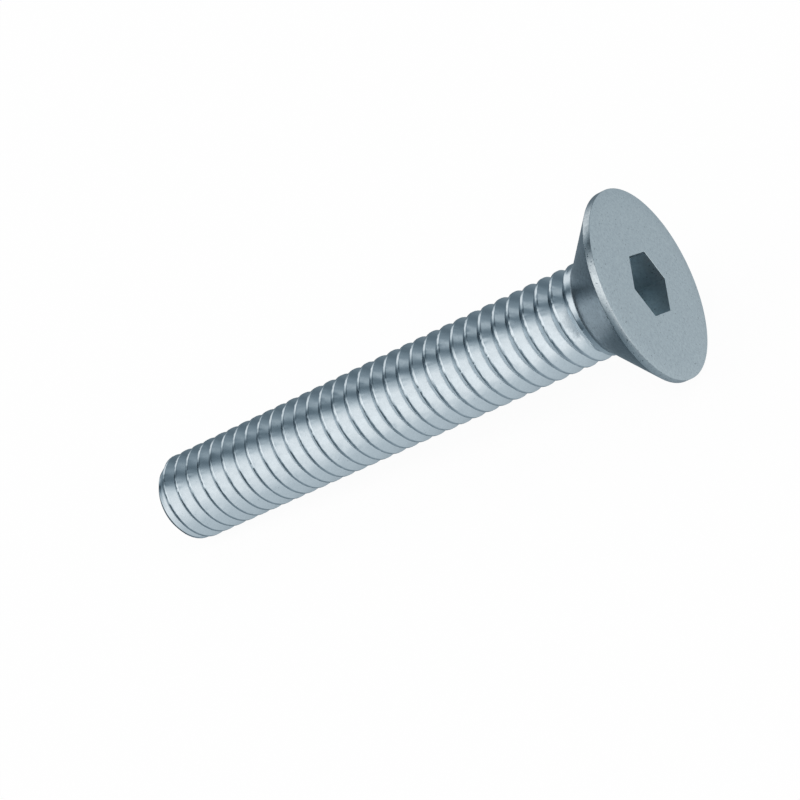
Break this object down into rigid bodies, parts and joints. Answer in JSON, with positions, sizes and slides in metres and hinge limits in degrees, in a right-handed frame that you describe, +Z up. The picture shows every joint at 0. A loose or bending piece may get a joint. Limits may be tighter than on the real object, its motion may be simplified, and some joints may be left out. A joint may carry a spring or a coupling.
{
  "type": "countersunk socket screw",
  "caption": "Countersunk screw with a hexagon socket in its flat head and a right-hand metric thread up to the head.",
  "frame": {"origin": "bottom centre of the screw's box as it lies on its side: on the floor, midway between point and head", "axes": "+X along the screw towards the head, which lies 4.8 degrees higher than the point; +Z up"},
  "size_m": [0.0254, 0.008, 0.008],
  "materials": {
    "zinc_plated_steel": "bright zinc plating, blue passivated, satin and slightly grainy"
  },
  "bodies": {
    "root": {"screw": "zinc_plated_steel"}
  },
  "joints": []
}
